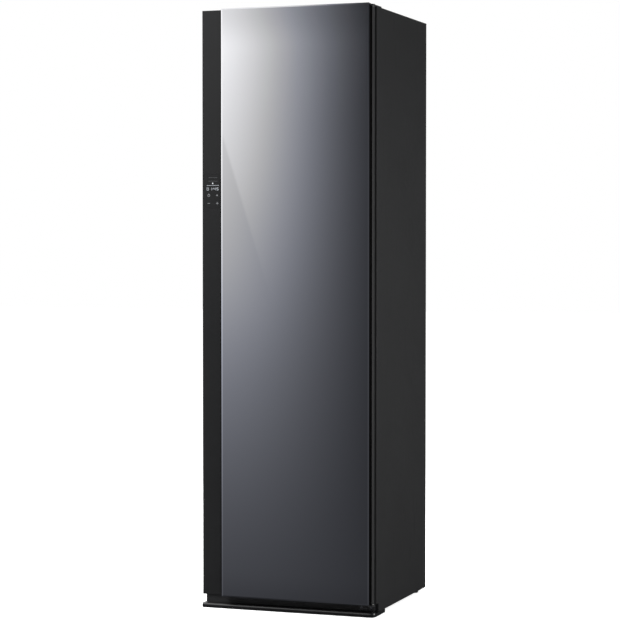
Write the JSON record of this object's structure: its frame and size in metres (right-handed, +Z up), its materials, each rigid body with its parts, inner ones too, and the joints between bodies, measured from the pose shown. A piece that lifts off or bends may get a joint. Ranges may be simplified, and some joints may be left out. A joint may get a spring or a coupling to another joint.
{
  "type": "clothes care steam cabinet",
  "caption": "Tall free-standing clothes care steam cabinet: a mirror-glass door beside a narrow control column, with a hanging chamber, water tanks and a steam unit inside.",
  "frame": {"origin": "on the floor, under the middle of the cabinet's footprint", "axes": "+X to the right of someone facing the door, +Y towards the wall, +Z up"},
  "size_m": [0.6, 0.596, 1.96],
  "materials": {
    "case_paint": "satin",
    "lid_plastic": "satin",
    "rear_sheet": "satin",
    "frame_steel": "satin",
    "pan_plastic": "matte",
    "black_plastic": "satin",
    "trim_black": "gloss",
    "foot_rubber": "matte",
    "column_black": "satin",
    "smoked_glass": "gloss",
    "circuit_board": "satin",
    "liner_grey": "satin",
    "bay_grey": "satin",
    "foam": "matte",
    "hinge_steel": "satin",
    "bright_steel": "polished",
    "frame_black": "satin",
    "mirror_glass": "polished",
    "seal_grey": "matte",
    "acetal_white": "satin",
    "press_fabric": "matte",
    "press_plastic": "satin",
    "zinc_sheet": "satin",
    "motor_can": "satin",
    "carriage_plastic": "satin",
    "rail_chrome": "polished",
    "hanger_plastic": "satin",
    "shelf_plastic": "satin",
    "tank_plastic": "gloss",
    "lid_grey": "satin",
    "cap_blue": "satin",
    "filter_grey": "satin",
    "boiler_steel": "satin",
    "nozzle_grey": "satin",
    "fin_aluminium": "satin",
    "fan_plastic": "satin",
    "impeller_plastic": "satin",
    "compressor_black": "gloss",
    "copper": "polished"
  },
  "bodies": {
    "cabinet": {"side_panel_left": "case_paint", "side_panel_right": "case_paint", "rear_panel": "rear_sheet", "top_panel": "lid_plastic", "mouth_frame": "frame_steel", "base_pan": "pan_plastic", "front_plinth": "black_plastic", "base_trim": "trim_black", "rear_feet": "foot_rubber", "control_column": "column_black", "display_window": "smoked_glass", "display_board": "circuit_board", "liner_left": "liner_grey", "liner_right": "liner_grey", "liner_rear": "liner_grey", "chamber_ceiling": "liner_grey", "chamber_floor": "liner_grey", "tank_bay": "bay_grey", "insulation_slabs": "foam", "top_hinge_bracket": "hinge_steel", "bottom_hinge_bracket": "hinge_steel", "hinge_pins": "bright_steel", "case_screws": "bright_steel", "hanger_drive_base": "zinc_sheet", "slide_rods": "bright_steel", "hanger_motor": "motor_can", "steam_generator": "boiler_steel", "steam_nozzle": "nozzle_grey", "water_pumps": "black_plastic", "evaporator": "fin_aluminium", "condenser": "fin_aluminium", "fan_scroll": "fan_plastic", "fan_motor": "motor_can", "compressor": "compressor_black", "refrigerant_pipes": "copper", "control_board": "circuit_board", "power_inlet": "black_plastic"},
    "door": {"door_frame": "frame_black", "door_glass": "mirror_glass", "door_core": "foam", "door_liner": "liner_grey", "door_gasket": "seal_grey", "door_bushes": "acetal_white", "press_pad": "press_fabric"},
    "press_leaf": {"press_plate": "press_plastic"},
    "hanger_slide": {"hanger_carriage": "carriage_plastic", "hanger_rail": "rail_chrome"},
    "hanger_crank": {"crank": "bright_steel"},
    "first_hanger": {"hanger_1": "hanger_plastic"},
    "second_hanger": {"hanger_2": "hanger_plastic"},
    "blower_wheel": {"fan_impeller": "impeller_plastic"},
    "filter_cassette": {"lint_filter": "filter_grey"},
    "removable_shelf": {"shelf": "shelf_plastic"},
    "supply_water_tank": {"supply_tank": "tank_plastic", "supply_tank_lid": "lid_grey"},
    "supply_water_cap": {"supply_tank_cap": "cap_blue"},
    "drain_water_tank": {"drain_tank": "tank_plastic", "drain_tank_lid": "lid_grey"},
    "left_levelling_foot": {"front_foot_left": "foot_rubber"},
    "right_levelling_foot": {"front_foot_right": "foot_rubber"}
  },
  "joints": [
    {"name": "door_hinge", "type": "hinge", "parent": "cabinet", "child": "door", "pos_m": [0.288, -0.272, 1], "axis": [0, 0, 1], "range_deg": [0, 110]},
    {"name": "press_hinge", "type": "hinge", "parent": "door", "child": "press_leaf", "pos_m": [0.217, -0.237, 1.02], "axis": [0, 0, -1], "range_deg": [0, 70]},
    {"name": "hanger_rail_slide", "type": "slide", "parent": "cabinet", "child": "hanger_slide", "axis": [1, 0, 0], "range_m": [-0.0183, 0.0183]},
    {"name": "crank_turn", "type": "hinge", "parent": "cabinet", "child": "hanger_crank", "pos_m": [0.029, -0.00965, 1.89], "axis": [0, 0, -1], "range_deg": [-61, 61]},
    {"name": "first_hanger_swing", "type": "hinge", "parent": "hanger_slide", "child": "first_hanger", "pos_m": [-0.101, -0.00965, 1.795], "axis": [1, 0, 0], "range_deg": [-5, 5]},
    {"name": "second_hanger_swing", "type": "hinge", "parent": "hanger_slide", "child": "second_hanger", "pos_m": [0.029, -0.00965, 1.795], "axis": [1, 0, 0], "range_deg": [-5, 5]},
    {"name": "blower_spin", "type": "hinge", "parent": "cabinet", "child": "blower_wheel", "pos_m": [-0.057, 0.1, 0.1105], "axis": [0, 1, 0], "continuous": true},
    {"name": "filter_lift", "type": "slide", "parent": "cabinet", "child": "filter_cassette", "axis": [0, 0, 1], "range_m": [0, 0.08]},
    {"name": "shelf_lift", "type": "slide", "parent": "cabinet", "child": "removable_shelf", "axis": [0, 0, 1], "range_m": [0, 0.06]},
    {"name": "supply_tank_lift", "type": "slide", "parent": "cabinet", "child": "supply_water_tank", "axis": [0, 0, 1], "range_m": [0, 0.25]},
    {"name": "supply_cap_turn", "type": "hinge", "parent": "supply_water_tank", "child": "supply_water_cap", "pos_m": [-0.005, -0.1793, 0.304], "axis": [0, 0, 1], "range_deg": [0, 90]},
    {"name": "drain_tank_lift", "type": "slide", "parent": "cabinet", "child": "drain_water_tank", "axis": [0, 0, 1], "range_m": [0, 0.25]},
    {"name": "left_foot_turn", "type": "hinge", "parent": "cabinet", "child": "left_levelling_foot", "pos_m": [-0.245, -0.189, 0.01], "axis": [0, 0, 1], "range_deg": [-720, 720]},
    {"name": "right_foot_turn", "type": "hinge", "parent": "cabinet", "child": "right_levelling_foot", "pos_m": [0.245, -0.189, 0.01], "axis": [0, 0, 1], "range_deg": [-720, 720]}
  ],
  "couplings": [
    {"joint": "crank_turn", "follows": "hanger_rail_slide", "rad_per_m": 57.3}
  ]
}
